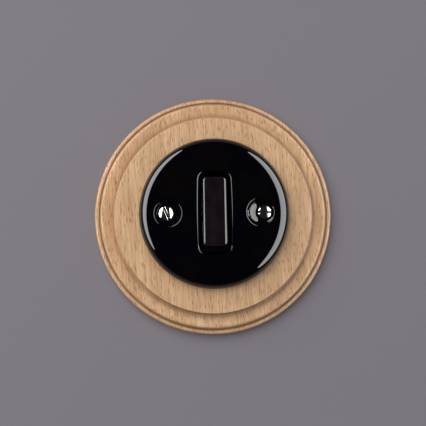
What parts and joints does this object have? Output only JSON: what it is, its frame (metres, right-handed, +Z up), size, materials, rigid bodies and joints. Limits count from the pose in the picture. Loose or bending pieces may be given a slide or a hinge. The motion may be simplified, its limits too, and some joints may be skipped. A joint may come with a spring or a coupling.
{
  "type": "ceramic light switch",
  "caption": "Round flush light switch: turned beech frame, black glazed porcelain cover on two screws, and a narrow rocker working a two-way contact mechanism.",
  "frame": {"origin": "centre of the mechanism on the wall plane, which is the frame's back face", "axes": "+X to the right and +Z up as the switch hangs, +Y into the wall, so the face looks along -Y"},
  "size_m": [0.13, 0.0406, 0.13],
  "materials": {
    "beech": "turned beech, oiled, satin",
    "porcelain": "black glaze, glossy",
    "thermoset": "moulded black, polished",
    "nylon": "moulded, matt",
    "base_resin": "moulded ivory resin, matt",
    "yoke_resin": "moulded black resin, matt",
    "nickel": "nickel plated, polished",
    "black_steel": "stamped steel, phosphated black, matt",
    "steel": "turned steel, zinc plated",
    "spring_steel": "drawn wire",
    "brass": "turned brass",
    "contact_brass": "stamped strip",
    "silver": "silver contact facing"
  },
  "bodies": {
    "base": {"wooden_frame": "beech", "ceramic_cover": "porcelain", "pivot_pin": "steel", "bearing_yoke": "yoke_resin", "switch_base": "base_resin", "mounting_ring": "black_steel", "bush_left": "brass", "bush_right": "brass", "cover_screw_left": "nickel", "cover_screw_right": "nickel", "common_contact": "contact_brass", "fixed_contact_upper": "contact_brass", "fixed_contact_lower": "contact_brass", "fixed_tip_upper": "silver", "fixed_tip_lower": "silver", "terminal_clamp_upper": "brass", "terminal_clamp_lower": "brass", "terminal_clamp_common": "brass", "terminal_screw_upper": "steel", "terminal_screw_lower": "steel", "terminal_screw_common": "steel", "yoke_screw_1": "steel", "yoke_screw_2": "steel", "yoke_screw_3": "steel", "yoke_screw_4": "steel"},
    "rocker": {"rocker": "thermoset", "rocker_carrier": "nylon", "plunger_spring": "spring_steel"},
    "plunger": {"plunger": "brass"},
    "lever": {"contact_lever": "contact_brass", "moving_tip_upper": "silver", "moving_tip_lower": "silver"}
  },
  "joints": [
    {"name": "rocker_tilt", "type": "hinge", "parent": "base", "child": "rocker", "pos_m": [0, -0.017, 0], "axis": [1, 0, 0], "range_deg": [0, 9]},
    {"name": "lever_tilt", "type": "hinge", "parent": "base", "child": "lever", "pos_m": [0, -0.0044, 0], "axis": [1, 0, 0], "range_deg": [-14.4, 0]},
    {"name": "plunger_slide", "type": "slide", "parent": "rocker", "child": "plunger", "axis": [0, -0.9969, 0.0785], "range_m": [0, 0.0008], "stiffness_N_per_m": 200, "deforming": ["plunger_spring"]}
  ],
  "couplings": [
    {"joint": "lever_tilt", "follows": "rocker_tilt", "ratio": -1.6}
  ]
}
